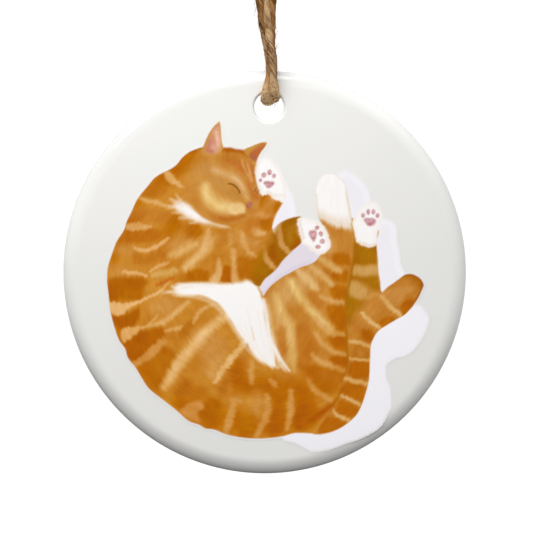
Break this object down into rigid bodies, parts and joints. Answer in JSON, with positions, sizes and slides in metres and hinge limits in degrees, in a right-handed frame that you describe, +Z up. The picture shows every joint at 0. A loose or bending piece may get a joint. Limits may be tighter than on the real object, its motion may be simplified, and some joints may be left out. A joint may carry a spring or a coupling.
{
  "type": "hanging disc ornament",
  "caption": "Flat round glazed ceramic hanging ornament with a picture of a curled-up sleeping tabby cat on its front, on a knotted jute twine loop.",
  "frame": {"origin": "where a hook holds the twine loop, just under its knot, straight above the disc's centre", "axes": "+Z up, front face with the picture towards -Y, +X to the viewer's right"},
  "size_m": [0.072, 0.0086, 0.113],
  "materials": {
    "glaze": "glossy white glaze",
    "print": "colours fused into the glaze, glossy",
    "jute": "rough natural jute, two-ply"
  },
  "bodies": {
    "hanger": {"twine_knot": "jute", "twine_front_tail": "jute", "twine_back_tail": "jute", "twine_front_upper": "jute", "twine_back_upper": "jute"},
    "loop_mid": {"twine_front_mid": "jute", "twine_back_mid": "jute"},
    "loop_bight": {"twine_bight": "jute"},
    "ornament": {"ceramic_disc": "glaze", "cat_print": "print"}
  },
  "joints": [
    {"name": "twine_twist", "type": "hinge", "parent": "hanger", "child": "loop_mid", "pos_m": [0, 0, -0.012], "axis": [0, 0, 1], "range_deg": [-150, 150]},
    {"name": "twine_fold", "type": "hinge", "parent": "loop_mid", "child": "loop_bight", "pos_m": [0, 0, -0.017], "axis": [1, 0, 0], "range_deg": [-40, 40]},
    {"name": "disc_swing", "type": "hinge", "parent": "loop_bight", "child": "ornament", "pos_m": [0, 0, -0.0278], "axis": [0, 1, 0], "range_deg": [-40, 40]}
  ]
}
